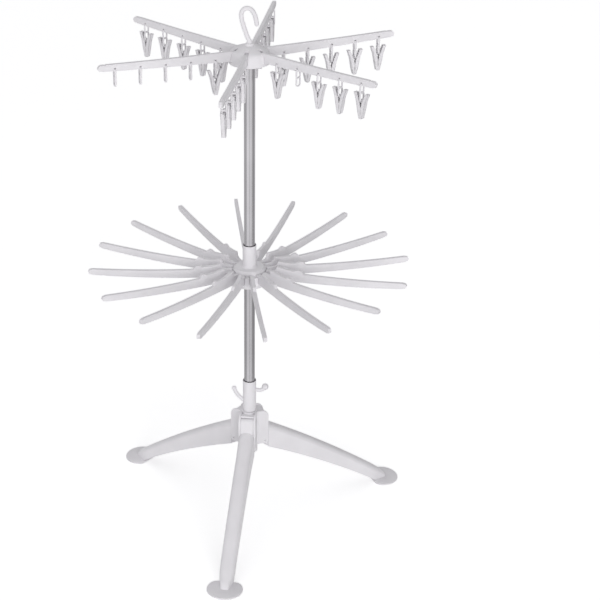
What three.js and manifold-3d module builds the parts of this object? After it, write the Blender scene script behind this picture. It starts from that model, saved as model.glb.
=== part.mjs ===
// Free-standing tower airer. A folding tripod carries a chrome pole, a turning tier of folding
// arms sits half way up, and a turning hub on top has six folding arms with clothes pegs on links.
// Millimetres, +Z up. The origin is on the floor, at the middle of the airer's bounding box.
// Each piece is drawn about the pole's axis: X runs outwards along its own arm or leg, Z is the
// height over the floor, and the finished piece is turned to its place round the pole.

import * as THREE from "three";
import { mergeVertices } from "three/addons/utils/BufferGeometryUtils.js";
import Module from "manifold-3d";

const wasm = await Module();
wasm.setup();

// Clearances and overruns
const seatGap = 0.3;
const turnGap = 0.7;
const sideGap = 0.4;
const cutOver = 3;
const shellWall = 2.5;
const rimEdge = 1;

// Pole
const poleRadius = 12.5;
const poleWall = 1.2;
const lowerPoleLength = 489.4;
const upperPoleLength = 490.7;
const joinerPlug = 38;
const joinerWall = 1.5;
const joinerFlange = 3;
const flangeReach = 1.2;

// Base hub
const baseWall = 6.4;
const baseRise = 19.5;
const baseDepth = 92;
const baseFloor = 4;
const baseDrainRadius = 9;
const earThickness = 5.5;
const earOverhang = 10.5;
const earDepth = 70;
const earTopRadius = 17;
const earFootRadius = 5;
const dimpleRadius = 2.4;
const dimpleDepth = 1.5;
const dimpleRise = 12;

// Legs
const legCount = 3;
const legFirstTurnShare = 1 / 12;
const legNames = ["leg_right", "leg_left", "leg_front"];
const legWidth = 37;
const legRootWidth = 29;
const legRound = 3.5;
const legReach = 331;
const legPivotHeight = 250;
const legKnuckle = 10.5;
const legPinRadius = 4;
const legPinLength = 3.6;
const legSideWall = 3;
const legRidgeWall = 4;
const legRib = 3;
const legPockets = 3;
const footRadius = 39;
const footSetback = 8;
const footChord = 21;
const footThickness = 4.5;
const footEdge = 1.2;
const footCrown = 1.6;
const legRidgeShares = [[0.042, 0.905], [0.489, 0.577], [0.973, 0.09]];
const legBellyShares = [[0.523, 0.37], [0.906, 0.016]];
const legHeelShare = 0.708;
const legPocketShares = [0.0725, 0.85];

// Collar with two coat hooks
const collarWall = 2.4;
const collarHeight = 79;
const coatTurnShare = 0.025;
const coatRod = 4.8;
const coatTip = 5.8;
const coatBall = 8;
const coatReach = 24;
const lowHookShares = [[0, 0.32], [0.283, 0.397], [0.567, 0.497], [0.76, 0.6], [0.9, 0.713]];
const highHookShares = [[0, 0.667], [0.2, 0.65], [0.437, 0.643], [0.75, 0.689], [0.942, 0.76]];

// Tier hub
const tierCoreRadius = 37.7;
const tierCheek = 4;
const tierPivotDrop = 20.3;
const tierRoofRise = 5.3;
const tierDiscThickness = 5.2;
const tierDiscGap = 0.8;
const tierBodyRound = 3;
const tierCollarRise = 44.2;
const tierFoldRoom = 2.1;
const tierPlateThickness = 13.5;
const tierPlateTaper = 5;

// Tier arms
const tierArms = 16;
const tierFirstTurnShare = 0.04;
const tierArmWidth = 7.5;
const tierArmReach = 319.5;
const tierArmHeel = 8;
const tierArmDrop = 13.6;
const tierFinRise = 19;
const tierTipRise = 19.5;
const tierPinRadius = 2.4;
const tierPinLength = 2.2;
const tierHeelTopShares = [[-1, 0], [-0.75, 0.66]];
const tierHeelFootShares = [[-0.625, -1], [-1, -0.81]];
const tierFinShares = [
  [0.0346, 0.353], [0.052, 0.5], [0.0614, 1], [0.126, 0.8], [0.189, 0.684], [0.2173, 0.874], [0.2362, 0.853],
  [0.2614, 0.432],
];
const tierTopShares = [[0.58, 0.41], [0.97, 1]];
const tierNoseShares = [[0.992, 0.923], [1, 0.692], [0.994, 0.436], [0.97, 0.297]];
const tierBellyShare = 0.5;

// Top hub and its cover
const topCoreRadius = 26.7;
const topPivotRise = 8;
const topHubDrop = 28;
const topBossWall = 3.8;
const topBodyDrop = 19;
const coverRadius = 45;
const coverHeight = 40;
const coverDrop = 21;
const bossRadius = 8.5;
const bossHeight = 3;
const domeWaistShare = 0.225;
const domeShoulderShares = [0.989, 0.7];
const domeCrownShares = [0.578, 0.925];

// Peg arms
const pegArms = 6;
const pegArmFirstTurnShare = 0.08125;
const pegArmWidth = 8;
const pegArmReach = 303;
const pegArmHeel = 8;
const pegArmDrop = 14;
const pegTipRise = 12;
const pegPinRadius = 2.4;
const pegPinLength = 2.2;
const pegHeelShares = [[-1, 0], [-0.7, 0.7], [0, 1]];
const pegTopShare = 0.54;
const pegNoseShares = [[0.941, 1], [0.984, 0.94], [1, 0.5], [0.993, -0.04]];
const pegBellyShares = [[0.377, -0.786], [0.967, -0.179]];

// Links and pegs
const stationFirst = 43.3;
const stationEnd = 37;
const stationCount = 5;
const eyeRadius = 3;
const eyeRise = 5.6;
const pegDrop = 33;
const linkWire = 2;
const linkThickness = 3;
const linkSole = 1.3;
const pegWidth = 9;
const pegSideGap = 0.5;
const pegHandleTop = 16;
const pegHandleSpread = 16.5;
const pegHandleThickness = 3.4;
const pegJawBottom = 38.5;
const pegJawThickness = 3.6;
const pegJawSeam = 6;
const pegJawGap = 0.6;
const pegGripReach = 2.4;
const pegGripDrop = 25;
const pegSpringRoom = 1;
const pegWaistThickness = 5.6;
const springRadius = 3.5;
const springWire = 0.7;
const springTurns = 1.5;
const springLength = 5;
const springLegDrop = 12;
const springApartShare = 0.5;
const missingPegs = { 4: [2, 3, 4, 5], 6: [2] };

// Hook on top
const hookTurnShare = 0.025;
const hookRod = 5;
const hookPlugRadius = 4;
const hookPlugLength = 10;
const hookHalfWidth = 17.3;
const hookRise = 77.2;
const hookShares = [
  [0, 0.06], [-0.21, 0.14], [-0.67, 0.44], [-0.977, 0.7], [-0.98, 0.86], [-0.72, 0.965], [-0.27, 1],
  [0.18, 0.96], [0.485, 0.87], [0.72, 0.74], [0.9, 0.536],
];

// Places that follow from the sizes above
const poleSocket = poleRadius + seatGap;
const turnBore = poleRadius + turnGap;
const collarRadius = turnBore + collarWall;
const flangeRadius = poleRadius + flangeReach;
const legSlotFloor = poleSocket + baseWall;
const legPivotReach = legSlotFloor + seatGap + legKnuckle;
const legSlotWidth = legRootWidth + 2 * sideGap;
const earRoot = legSlotWidth / 2 / Math.tan(Math.PI / legCount);
const baseCoreRadius = (legSlotWidth + earThickness) / 2 / Math.sin(Math.PI / legCount);
const legShoulder = legPivotReach + earOverhang + sideGap + turnGap;
const baseTop = legPivotHeight + baseRise;
const baseBottom = legPivotHeight - baseDepth;
const earBottom = legPivotHeight - earDepth;
const poleFoot = baseBottom + baseFloor + seatGap;
const flangeBottom = poleFoot + lowerPoleLength + seatGap;
const tierShoulder = flangeBottom + joinerFlange + seatGap;
const poleTop = tierShoulder + upperPoleLength;
const tierPivotReach = tierCoreRadius + seatGap + tierArmHeel;
const tierPivotHeight = tierShoulder - tierPivotDrop;
const tierRoof = tierPivotHeight + tierRoofRise;
const tierFloor = tierPivotHeight - tierArmDrop - tierFoldRoom;
const tierDiscRadius = tierPivotReach - tierFinShares[0][1] * tierFinRise - tierDiscGap;
const tierBodyRadius = tierPivotReach + tierCheek;
const topPivotReach = topCoreRadius + seatGap + pegArmHeel;
const topPivotHeight = poleTop + topPivotRise;
const coverRim = topPivotHeight - coverDrop;
const bossTop = coverRim + coverHeight + bossHeight;
const stationPitch = (pegArmReach - stationEnd - stationFirst) / (stationCount - 1);
const linkHalfWidth = pegWidth / 2 + pegSideGap;
const pegWaist = springRadius + springWire + pegSpringRoom;

// Facets
const roundSteps = 24;
const smallSteps = 8;
const pinSides = 6;
const tubeSides = 8;
const springSides = 4;
const springSteps = 6;

// Materials
const whitePlastic = new THREE.MeshStandardMaterial({ color: 0xe6e6e8, roughness: 0.45, metalness: 0 });
const shadePlastic = new THREE.MeshStandardMaterial({ color: 0xdedee1, roughness: 0.5, metalness: 0 });
const chrome = new THREE.MeshStandardMaterial({ color: 0xbfc0c4, roughness: 0.2, metalness: 1 });
const greyPlastic = new THREE.MeshStandardMaterial({ color: 0x8b8c90, roughness: 0.6, metalness: 0 });
const clearPlastic = new THREE.MeshStandardMaterial({ color: 0xd2d2d6, roughness: 0.35, metalness: 0 });

const airer = new THREE.Group();

// Turns a closed three.js geometry into a solid that can be cut and joined.
function toSolid(geometry) {
  const bare = geometry.clone();
  bare.deleteAttribute("normal");
  bare.deleteAttribute("uv");
  const merged = mergeVertices(bare);
  return new wasm.Manifold(new wasm.Mesh({
    numProp: 3,
    vertProperties: Float32Array.from(merged.attributes.position.array),
    triVerts: Uint32Array.from(merged.index.array),
  }));
}

function toGeometry(solid) {
  const mesh = solid.getMesh();
  const geometry = new THREE.BufferGeometry();
  geometry.setAttribute("position", new THREE.BufferAttribute(mesh.vertProperties, 3));
  geometry.setIndex(new THREE.BufferAttribute(mesh.triVerts, 1));
  geometry.computeVertexNormals();
  return geometry;
}

function join(solids) {
  return solids.reduce((whole, next) => whole.add(next));
}

// A body of revolution about the pole's axis, from points [radius, height].
function turned(points, steps = roundSteps) {
  const profile = points.map(([radius, height]) => new THREE.Vector2(radius, height));
  const geometry = new THREE.LatheGeometry(profile, steps);
  return toSolid(geometry.rotateX(Math.PI / 2));
}

// A side outline in X and Z, given thickness along Y, with rounded or chamfered edges.
function slab(shape, width, edge = 0, edgeSteps = 1, curveSteps = 6) {
  const depth = width - 2 * edge;
  const geometry = new THREE.ExtrudeGeometry(shape, {
    depth,
    steps: 1,
    curveSegments: curveSteps,
    bevelEnabled: edge > 0,
    bevelThickness: edge,
    bevelSize: edge,
    bevelOffset: -edge,
    bevelSegments: edgeSteps,
  });
  geometry.translate(0, 0, -depth / 2);
  return toSolid(geometry.rotateX(Math.PI / 2));
}

// A round pin along Y.
function crossPin(radius, length, reach, height, steps = smallSteps) {
  const geometry = new THREE.CylinderGeometry(radius, radius, length, steps);
  return toSolid(geometry.translate(reach, 0, height));
}

// A round tube along a line of points, one ring of corners at each point.
function tube(points, radius, sides) {
  const positions = [];
  const faces = [];
  const last = points.length - 1;
  const across = new THREE.Vector3();
  points.forEach((point, i) => {
    const ahead = points[Math.min(i + 1, last)].clone().sub(points[Math.max(i - 1, 0)]).normalize();
    if (i === 0) {
      across.set(0, 1, 0).cross(ahead).cross(ahead).normalize();
    }
    across.addScaledVector(ahead, -across.dot(ahead)).normalize();
    const beside = new THREE.Vector3().crossVectors(ahead, across);
    for (let j = 0; j < sides; j += 1) {
      const turn = (j / sides) * 2 * Math.PI;
      const corner = point.clone();
      corner.addScaledVector(across, radius * Math.cos(turn));
      corner.addScaledVector(beside, radius * Math.sin(turn));
      positions.push(corner.x, corner.y, corner.z);
    }
  });
  for (let i = 0; i < last; i += 1) {
    for (let j = 0; j < sides; j += 1) {
      const near = i * sides + j;
      const beside = i * sides + ((j + 1) % sides);
      faces.push(near, beside, near + sides, beside, beside + sides, near + sides);
    }
  }
  for (let j = 1; j < sides - 1; j += 1) {
    faces.push(0, j + 1, j);
    faces.push(last * sides, last * sides + j, last * sides + j + 1);
  }
  const geometry = new THREE.BufferGeometry();
  geometry.setAttribute("position", new THREE.Float32BufferAttribute(positions, 3));
  geometry.setIndex(faces);
  return toSolid(geometry);
}

// A smooth curve through points [reach, height] in the X and Z plane.
function curvePoints(path, steps) {
  const curve = new THREE.CatmullRomCurve3(path.map(([x, z]) => new THREE.Vector3(x, 0, z)));
  return curve.getSpacedPoints(steps);
}

function ball(radius, [reach, height]) {
  const geometry = new THREE.SphereGeometry(radius, smallSteps, smallSteps / 2);
  return toSolid(geometry.translate(reach, 0, height));
}

// Places [reach, height] from shares of a length and of a height, counted from a starting place.
function placed(shares, [reach, height], length, rise) {
  return shares.map(([along, up]) => [reach + along * length, height + up * rise]);
}

function lineThrough(path, points) {
  points.forEach((point) => path.lineTo(...point));
}

// Adds a named piece to the airer, turned round the pole by a share of a full turn.
function addPiece(name, solid, material, turnShare = 0) {
  const mesh = new THREE.Mesh(toGeometry(solid), material);
  mesh.name = name;
  mesh.rotation.z = 2 * Math.PI * turnShare;
  airer.add(mesh);
  return mesh;
}

function turnedCopies(solid, count, firstTurnShare = 0) {
  const copies = [];
  for (let i = 0; i < count; i += 1) {
    const turn = 2 * Math.PI * (firstTurnShare + i / count);
    copies.push(solid.rotate([0, 0, THREE.MathUtils.radToDeg(turn)]));
  }
  return join(copies);
}

// Chrome pole in two lengths, joined by a plug whose flange carries the tier hub
function makeTubeLength(bottom, length) {
  const bore = poleRadius - poleWall;
  return turned([
    [bore, bottom],
    [poleRadius, bottom],
    [poleRadius, bottom + length],
    [bore, bottom + length],
    [bore, bottom],
  ]);
}

function makePoleJoiner() {
  const plug = poleRadius - poleWall - seatGap;
  const flangeTop = flangeBottom + joinerFlange;
  return turned([
    [plug - joinerWall, flangeBottom - joinerPlug],
    [plug, flangeBottom - joinerPlug],
    [plug, flangeBottom],
    [flangeRadius, flangeBottom],
    [flangeRadius, flangeTop],
    [plug, flangeTop],
    [plug, flangeTop + joinerPlug],
    [plug - joinerWall, flangeTop + joinerPlug],
    [plug - joinerWall, flangeBottom - joinerPlug],
  ]);
}

// Base hub: a socket for the pole and three pairs of ears
function makeEar() {
  const ear = new THREE.Shape();
  const reach = legPivotReach + earOverhang;
  ear.moveTo(earRoot, earBottom);
  ear.lineTo(reach - earFootRadius, earBottom);
  ear.absarc(reach - earFootRadius, earBottom + earFootRadius, earFootRadius, -Math.PI / 2, 0, false);
  ear.absarc(reach - earTopRadius, baseTop - earTopRadius, earTopRadius, 0, Math.PI / 2, false);
  ear.lineTo(earRoot, baseTop);
  return slab(ear, earThickness, 0, 1, 3);
}

function makeBaseHub() {
  const column = turned([
    [baseDrainRadius, baseBottom],
    [poleSocket + baseWall, baseBottom],
    [poleSocket + baseWall, earBottom],
    [baseCoreRadius, earBottom],
    [baseCoreRadius, baseTop],
    [poleSocket, baseTop],
    [poleSocket, baseBottom + baseFloor],
    [baseDrainRadius, baseBottom + baseFloor],
    [baseDrainRadius, baseBottom],
  ]);
  const slotHeight = baseRise + baseDepth + 2 * cutOver;
  const slot = toSolid(new THREE.BoxGeometry(legReach, legSlotWidth, slotHeight)
    .translate(legSlotFloor + legReach / 2, 0, (baseBottom + baseTop) / 2));
  const ear = makeEar();
  const earMiddle = (legSlotWidth + earThickness) / 2;
  const pinHoles = crossPin(legPinRadius + sideGap, legSlotWidth + 2 * (legPinLength + sideGap), legPivotReach,
    legPivotHeight);
  const dimpleHeight = earBottom + dimpleRise;
  const dimples = crossPin(dimpleRadius, legSlotWidth + 2 * (earThickness + cutOver), legPivotReach, dimpleHeight,
    pinSides);
  const dimpleFloor = crossPin(2 * dimpleRadius, legSlotWidth + 2 * (earThickness - dimpleDepth), legPivotReach,
    dimpleHeight, pinSides);
  const ears = join([ear.translate([0, earMiddle, 0]), ear.translate([0, -earMiddle, 0])]);
  const clevis = ears.subtract(pinHoles).subtract(dimples.subtract(dimpleFloor));
  return column.add(turnedCopies(clevis, legCount, legFirstTurnShare))
    .subtract(turnedCopies(slot, legCount, legFirstTurnShare));
}

// Legs: arched shells, open below, each with its foot disc
const legFloor = [legPivotReach, 0];
const [ridgeStart, ridgeBow, ridgeEnd] = placed(legRidgeShares, legFloor, legReach, legPivotHeight);
const [bellyBow, bellyEnd] = placed(legBellyShares, legFloor, legReach, legPivotHeight);

// Height of a bowed edge at a given reach. The edge is a quadratic curve from start to end.
function bowHeight(start, bow, end, reach) {
  const a = start[0] - 2 * bow[0] + end[0];
  const b = 2 * (bow[0] - start[0]);
  const c = start[0] - reach;
  const along = Math.abs(a) < Number.EPSILON ? -c / b : (-b + Math.sqrt(b * b - 4 * a * c)) / (2 * a);
  return (1 - along) ** 2 * start[1] + 2 * along * (1 - along) * bow[1] + along ** 2 * end[1];
}

function makeLeg() {
  const heel = legPivotReach - legKnuckle;
  const tip = legPivotReach + legReach;
  const heelHeight = legHeelShare * legPivotHeight;
  const body = new THREE.Shape();
  body.moveTo(heel, legPivotHeight);
  body.absarc(legPivotReach, legPivotHeight, legKnuckle, Math.PI, 0, true);
  body.lineTo(...ridgeStart);
  body.quadraticCurveTo(...ridgeBow, ...ridgeEnd);
  body.quadraticCurveTo(tip, ridgeEnd[1] - legRound, tip, footThickness);
  body.lineTo(tip, -2 * legRound);
  body.lineTo(bellyEnd[0], -2 * legRound);
  body.lineTo(heel, heelHeight - 2 * legRound);
  const belly = new THREE.Shape();
  belly.moveTo(0, heelHeight);
  belly.lineTo(heel, heelHeight);
  belly.quadraticCurveTo(...bellyBow, ...bellyEnd);
  belly.lineTo(bellyEnd[0], footThickness / 2);
  belly.lineTo(tip + cutOver, footThickness / 2);
  belly.lineTo(tip + cutOver, -3 * legRound);
  belly.lineTo(0, -3 * legRound);
  const shell = slab(body, legWidth, legRound, 2, 4).subtract(slab(belly, legWidth + cutOver, 0, 1, 5));
  const pin = crossPin(legPinRadius, legRootWidth + 2 * legPinLength, legPivotReach, legPivotHeight);
  return join([shell.subtract(join([makeLegPockets(), makeLegShoulders()])), makeFoot(), pin]);
}

// What is cut away beside the root, so that it fits between the ears
function makeLegShoulders() {
  const width = legWidth + 2 * cutOver;
  const height = 2 * legPivotHeight;
  const block = toSolid(new THREE.BoxGeometry(legShoulder, width, height).translate(legShoulder / 2, 0, height / 2));
  const root = toSolid(new THREE.BoxGeometry(2 * legShoulder, legRootWidth, 2 * height)
    .translate(legShoulder, 0, height / 2));
  return block.subtract(root);
}

// Foot: a low disc with a straight inner edge, below the leg's tip
function makeFoot() {
  const middle = legPivotReach + legReach - footSetback;
  const height = footThickness + footCrown;
  const disc = turned([
    [0, 0],
    [footRadius - footEdge, 0],
    [footRadius, footEdge],
    [footRadius, footThickness - footEdge],
    [footRadius / 2, height],
    [0, height],
  ]).translate([middle, 0, 0]);
  const inner = toSolid(new THREE.BoxGeometry(footRadius, 2 * footRadius + cutOver, 3 * height)
    .translate(middle - footChord - footRadius / 2, 0, height / 2));
  return disc.subtract(inner);
}

function makeLegPockets() {
  const [first, last] = legPocketShares.map((share) => legPivotReach + share * legReach);
  const length = (last - first - (legPockets - 1) * legRib) / legPockets;
  const pockets = [];
  for (let i = 0; i < legPockets; i += 1) {
    const start = first + i * (length + legRib);
    const pocket = new THREE.Shape();
    pocket.moveTo(start, 0);
    [start, start + length / 2, start + length].forEach((reach) => {
      pocket.lineTo(reach, bowHeight(ridgeStart, ridgeBow, ridgeEnd, reach) - legRidgeWall);
    });
    pocket.lineTo(start + length, 0);
    pockets.push(slab(pocket, legWidth - 2 * legSideWall));
  }
  return join(pockets);
}

// Collar with a short upswept hook and a longer one that ends in a ball
function makeCoatHook(shares, bottom) {
  const path = placed(shares, [(turnBore + collarRadius) / 2, bottom], coatReach, collarHeight);
  return [tube(curvePoints(path, 5), coatRod, tubeSides), path[path.length - 1]];
}

function makeHookCollar() {
  const bottom = baseTop + seatGap;
  const top = bottom + collarHeight;
  const sleeve = turned([
    [turnBore, bottom],
    [collarRadius, bottom],
    [collarRadius, top - rimEdge],
    [collarRadius - rimEdge, top],
    [turnBore, top],
    [turnBore, bottom],
  ]);
  const [lowRod, lowTip] = makeCoatHook(lowHookShares, bottom);
  const [highRod, highTip] = makeCoatHook(highHookShares, bottom);
  const lowHook = lowRod.add(ball(coatTip, lowTip)).mirror([1, 0, 0]);
  const highHook = highRod.add(ball(coatBall, highTip));
  const clear = turned([[0, bottom], [turnBore, bottom], [turnBore, top], [0, top]]);
  return join([sleeve, lowHook.subtract(clear), highHook.subtract(clear)]);
}

// Tier hub: a collar on a disc, with a slot and two blind pin holes for each arm
function makeTierHub() {
  const wideBore = flangeRadius + seatGap;
  const discTop = tierRoof + tierDiscThickness;
  const top = tierShoulder + tierCollarRise;
  const body = turned([
    [wideBore, tierFloor],
    [tierBodyRadius - tierBodyRound, tierFloor],
    [tierBodyRadius, tierFloor + tierBodyRound],
    [tierBodyRadius, tierRoof],
    [tierDiscRadius, tierRoof],
    [tierDiscRadius, discTop - rimEdge],
    [tierDiscRadius - rimEdge, discTop],
    [collarRadius, discTop],
    [collarRadius, top - rimEdge],
    [collarRadius - rimEdge, top],
    [turnBore, top],
    [turnBore, tierShoulder],
    [wideBore, tierShoulder],
    [wideBore, tierFloor],
  ]);
  const slotWidth = tierArmWidth + 2 * sideGap;
  const slotHeight = tierRoof - tierFloor + cutOver;
  const slot = toSolid(new THREE.BoxGeometry(tierArmReach, slotWidth, slotHeight)
    .translate(tierCoreRadius + tierArmReach / 2, 0, tierRoof - slotHeight / 2));
  const holes = crossPin(tierPinRadius + sideGap, slotWidth + 2 * (tierPinLength + seatGap), tierPivotReach,
    tierPivotHeight, pinSides);
  return body.subtract(turnedCopies(join([slot, holes]), tierArms));
}

function makeTierPlate() {
  const top = tierFloor - seatGap;
  return turned([
    [turnBore, top - tierPlateThickness],
    [tierPivotReach - tierPlateTaper, top - tierPlateThickness],
    [tierPivotReach, top - tierPlateThickness / 2],
    [tierPivotReach, top],
    [turnBore, top],
    [turnBore, top - tierPlateThickness],
  ]);
}

// Tier arm: a slim blade that curves up to its tip, with a notched fin near the hub
function makeTierArm() {
  const pivot = [tierPivotReach, tierPivotHeight];
  const [topBow, topEnd] = placed(tierTopShares, pivot, tierArmReach, tierTipRise);
  const [footBelly, footHeel] = placed(tierHeelFootShares, pivot, tierArmHeel, tierArmDrop);
  const bellyReach = tierPivotReach + tierBellyShare * tierArmReach;
  const arm = new THREE.Shape();
  arm.moveTo(...footHeel);
  lineThrough(arm, placed(tierHeelTopShares, pivot, tierArmHeel, tierArmHeel));
  lineThrough(arm, placed(tierFinShares, pivot, tierArmReach, tierFinRise));
  arm.quadraticCurveTo(...topBow, ...topEnd);
  lineThrough(arm, placed(tierNoseShares, pivot, tierArmReach, tierTipRise));
  arm.quadraticCurveTo(bellyReach, tierPivotHeight - tierArmDrop, ...footBelly);
  const pin = crossPin(tierPinRadius, tierArmWidth + 2 * tierPinLength, ...pivot, pinSides);
  return slab(arm, tierArmWidth, 0, 1, 3).add(pin);
}

// Top cover: a dome cut into six petals by the arm slots, with a boss for the hook
function domeProfile(inset, steps) {
  const [shoulderShare, shoulderRiseShare] = domeShoulderShares;
  const [crownShare, crownRiseShare] = domeCrownShares;
  const radius = coverRadius - inset;
  const height = coverHeight - inset;
  const dome = new THREE.Path();
  dome.moveTo(radius, coverRim);
  dome.lineTo(radius, coverRim + domeWaistShare * height);
  dome.quadraticCurveTo(shoulderShare * radius, coverRim + shoulderRiseShare * height, crownShare * radius,
    coverRim + crownRiseShare * height);
  dome.quadraticCurveTo(crownShare / 2 * radius, coverRim + height, 0, coverRim + height);
  return dome.getPoints(steps).map((point) => [point.x, point.y]);
}

function armSlots(start, width) {
  const height = coverHeight + 2 * topHubDrop;
  const slot = toSolid(new THREE.BoxGeometry(coverRadius, width, height)
    .translate(start + coverRadius / 2, 0, topPivotHeight));
  return turnedCopies(slot, pegArms, pegArmFirstTurnShare);
}

function makeTopCover() {
  const outer = domeProfile(0, 3);
  const inner = domeProfile(shellWall, 2).reverse();
  const apex = coverRim + coverHeight;
  const shell = turned([...outer, ...inner, outer[0]]);
  const boss = turned([
    [0, apex - shellWall],
    [bossRadius, apex - shellWall],
    [bossRadius, bossTop - rimEdge],
    [bossRadius - rimEdge, bossTop],
    [0, bossTop],
  ]);
  const hole = turned([
    [0, apex - shellWall - cutOver],
    [hookPlugRadius + turnGap, apex - shellWall - cutOver],
    [hookPlugRadius + turnGap, bossTop + cutOver],
    [0, bossTop + cutOver],
  ], smallSteps);
  const slots = armSlots(topCoreRadius - sideGap, pegArmWidth + 4 * sideGap);
  return shell.subtract(slots).add(boss).subtract(hole);
}

// Top hub: the carrier under the cover, which turns on the end of the pole
function makeTopHub() {
  const bottom = topPivotHeight - topHubDrop;
  const bodyBottom = topPivotHeight - topBodyDrop;
  const boss = turnBore + topBossWall;
  const ceiling = poleTop + seatGap;
  const skin = domeProfile(shellWall + 2 * seatGap, 2).slice(1);
  const body = turned([
    [turnBore, bottom],
    [boss, bottom],
    [boss, bodyBottom],
    [skin[0][0] - rimEdge, bodyBottom],
    [skin[0][0], bodyBottom + rimEdge],
    ...skin,
    [0, ceiling],
    [turnBore, ceiling],
    [turnBore, bottom],
  ]);
  const plugBottom = bossTop - hookPlugLength - seatGap;
  const plug = turned([
    [0, plugBottom],
    [hookPlugRadius + turnGap, plugBottom],
    [hookPlugRadius + turnGap, bossTop],
    [0, bossTop],
  ], smallSteps);
  const slotWidth = pegArmWidth + 2 * sideGap;
  const holes = crossPin(pegPinRadius + sideGap, slotWidth + 2 * (pegPinLength + seatGap), topPivotReach,
    topPivotHeight, pinSides);
  return body.subtract(armSlots(topCoreRadius, slotWidth))
    .subtract(turnedCopies(holes, pegArms, pegArmFirstTurnShare))
    .subtract(plug);
}

// Hook on top: a round rod bent into an open loop, on a plug that turns in the cover
function makeHangingHook() {
  const foot = bossTop + seatGap;
  const path = placed(hookShares, [0, foot], hookHalfWidth, hookRise);
  const plug = turned([
    [0, bossTop - hookPlugLength],
    [hookPlugRadius, bossTop - hookPlugLength],
    [hookPlugRadius, path[0][1]],
    [0, path[0][1]],
  ], smallSteps);
  const flange = turned([
    [0, foot],
    [hookRod + rimEdge, foot],
    [hookRod, path[0][1]],
    [0, path[0][1]],
  ], smallSteps);
  return join([tube(curvePoints(path, 14), hookRod, tubeSides), plug, flange, ball(hookRod, path[path.length - 1])]);
}

// Underside of a peg arm at a given reach
function pegArmBelly(reach) {
  const pivot = [topPivotReach, topPivotHeight];
  const [bow, end] = placed(pegBellyShares, pivot, pegArmReach, pegArmDrop);
  return bowHeight([topPivotReach, topPivotHeight - pegArmDrop], bow, end, reach);
}

function stationReach(station) {
  return topPivotReach + stationFirst + (station - 1) * stationPitch;
}

function pegPivotHeight(station) {
  return pegArmBelly(stationReach(station)) - pegDrop;
}

// Link: a figure of eight across the arm, from the eye in the arm down to the peg's spring
function makeLink(station) {
  const reach = stationReach(station);
  const top = pegArmBelly(reach) + eyeRise - eyeRadius + linkWire - seatGap;
  const bottom = pegPivotHeight(station) - linkSole;
  const waist = (top + bottom) / 2;
  const outer = linkHalfWidth + linkWire;
  const link = new THREE.Shape();
  link.moveTo(outer, bottom + linkWire);
  link.lineTo(outer, top - linkWire);
  link.lineTo(linkHalfWidth, top);
  link.lineTo(-linkHalfWidth, top);
  link.lineTo(-outer, top - linkWire);
  link.lineTo(-outer, bottom + linkWire);
  link.lineTo(-linkHalfWidth, bottom);
  link.lineTo(linkHalfWidth, bottom);
  link.holes.push(linkOpening(top - linkWire, waist + linkWire / 2));
  link.holes.push(linkOpening(waist - linkWire / 2, bottom + 2 * linkSole));
  return slab(link, linkThickness).rotate([0, 0, 90]).translate([reach, 0, 0]);
}

function linkOpening(high, low) {
  const opening = new THREE.Path();
  opening.moveTo(linkHalfWidth, low);
  opening.lineTo(linkHalfWidth, high);
  opening.lineTo(-linkHalfWidth, high);
  opening.lineTo(-linkHalfWidth, low);
  return opening;
}

// Peg arm: a deep blade with five eyes, each with its link
function makePegArm() {
  const pivot = [topPivotReach, topPivotHeight];
  const [bellyBow, bellyEnd] = placed(pegBellyShares, pivot, pegArmReach, pegArmDrop);
  const [topEnd, ...nose] = placed(pegNoseShares, pivot, pegArmReach, pegTipRise);
  const rootBottom = topPivotHeight - pegArmDrop;
  const arm = new THREE.Shape();
  arm.moveTo(topPivotReach - pegArmHeel, rootBottom);
  lineThrough(arm, placed(pegHeelShares, pivot, pegArmHeel, pegArmHeel));
  arm.quadraticCurveTo(topPivotReach + pegTopShare * pegArmReach, topPivotHeight + pegArmHeel, ...topEnd);
  lineThrough(arm, [...nose, bellyEnd]);
  arm.quadraticCurveTo(...bellyBow, topPivotReach, rootBottom);
  const eyes = [];
  const links = [];
  for (let station = 1; station <= stationCount; station += 1) {
    const reach = stationReach(station);
    eyes.push(crossPin(eyeRadius, pegArmWidth + cutOver, reach, pegArmBelly(reach) + eyeRise, pinSides));
    links.push(makeLink(station));
  }
  const blade = slab(arm, pegArmWidth, 0, 1, 3).subtract(join(eyes));
  const pin = crossPin(pegPinRadius, pegArmWidth + 2 * pegPinLength, ...pivot, pinSides);
  return join([blade, pin, ...links]);
}

// Peg: two levers that meet at the jaws, and a wire spring whose coil hangs on the link.
// It is drawn about the middle of the coil.
function makeLevers() {
  const half = [
    [pegJawThickness, -pegJawBottom],
    [pegWaist + pegWaistThickness, 0],
    [pegHandleSpread, pegHandleTop],
    [pegHandleSpread - pegHandleThickness, pegHandleTop],
    [pegWaist, -springRadius],
    [pegJawGap, -springLegDrop],
    [pegGripReach, -pegGripDrop],
    [pegJawGap, -pegJawBottom + pegJawSeam],
  ];
  const levers = new THREE.Shape();
  levers.moveTo(...half[0]);
  half.slice(1).forEach((point) => levers.lineTo(...point));
  half.reverse().forEach(([across, up]) => levers.lineTo(-across, up));
  return slab(levers, pegWidth);
}

function springPoints() {
  const points = [];
  const steps = springTurns * springSteps;
  const legReach = pegWaist + pegWaistThickness / 4;
  points.push(new THREE.Vector3(legReach, -springLength / 2, -springLegDrop));
  for (let i = 0; i <= steps; i += 1) {
    const turn = (i / springSteps) * 2 * Math.PI;
    const across = (i / steps - 1 / 2) * springLength;
    points.push(new THREE.Vector3(springRadius * Math.cos(turn), across, springRadius * Math.sin(turn)));
  }
  points.push(new THREE.Vector3(-legReach, springLength / 2, -springLegDrop));
  return points;
}

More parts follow.
